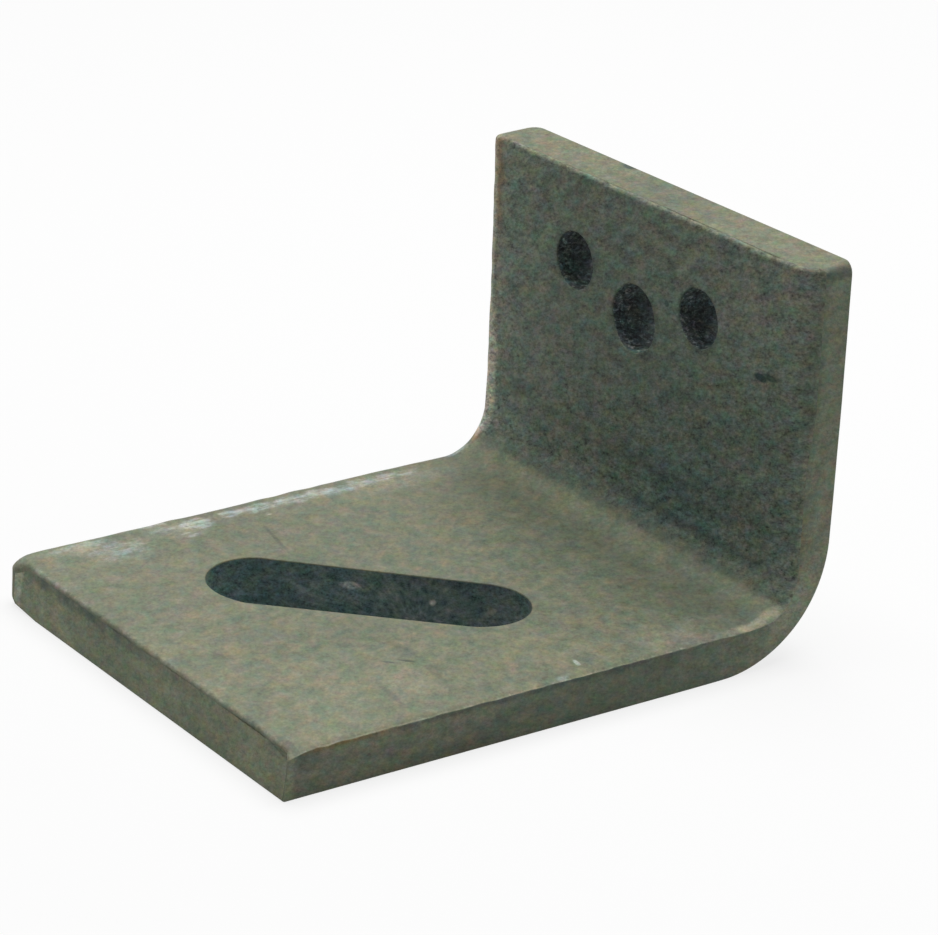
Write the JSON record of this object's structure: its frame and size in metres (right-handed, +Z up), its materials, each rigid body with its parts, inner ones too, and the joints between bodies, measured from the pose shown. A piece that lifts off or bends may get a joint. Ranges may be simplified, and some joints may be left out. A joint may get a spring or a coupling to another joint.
{
  "type": "angle anchor",
  "caption": "Heavy angle anchor bent from thick flat bar, with a diagonal slot in the foot for an anchor bolt and a triangle of fixing holes in the upright.",
  "frame": {"origin": "middle of the bounding box, on the underside of the foot", "axes": "+Z up; +Y from the free end of the foot to the upright; +X across the width of the bar"},
  "size_m": [0.1, 0.121, 0.0785],
  "materials": {
    "steel": "bare hot-rolled steel with a matt olive-grey mill scale"
  },
  "bodies": {
    "root": {"angle_anchor": "steel"}
  },
  "joints": []
}
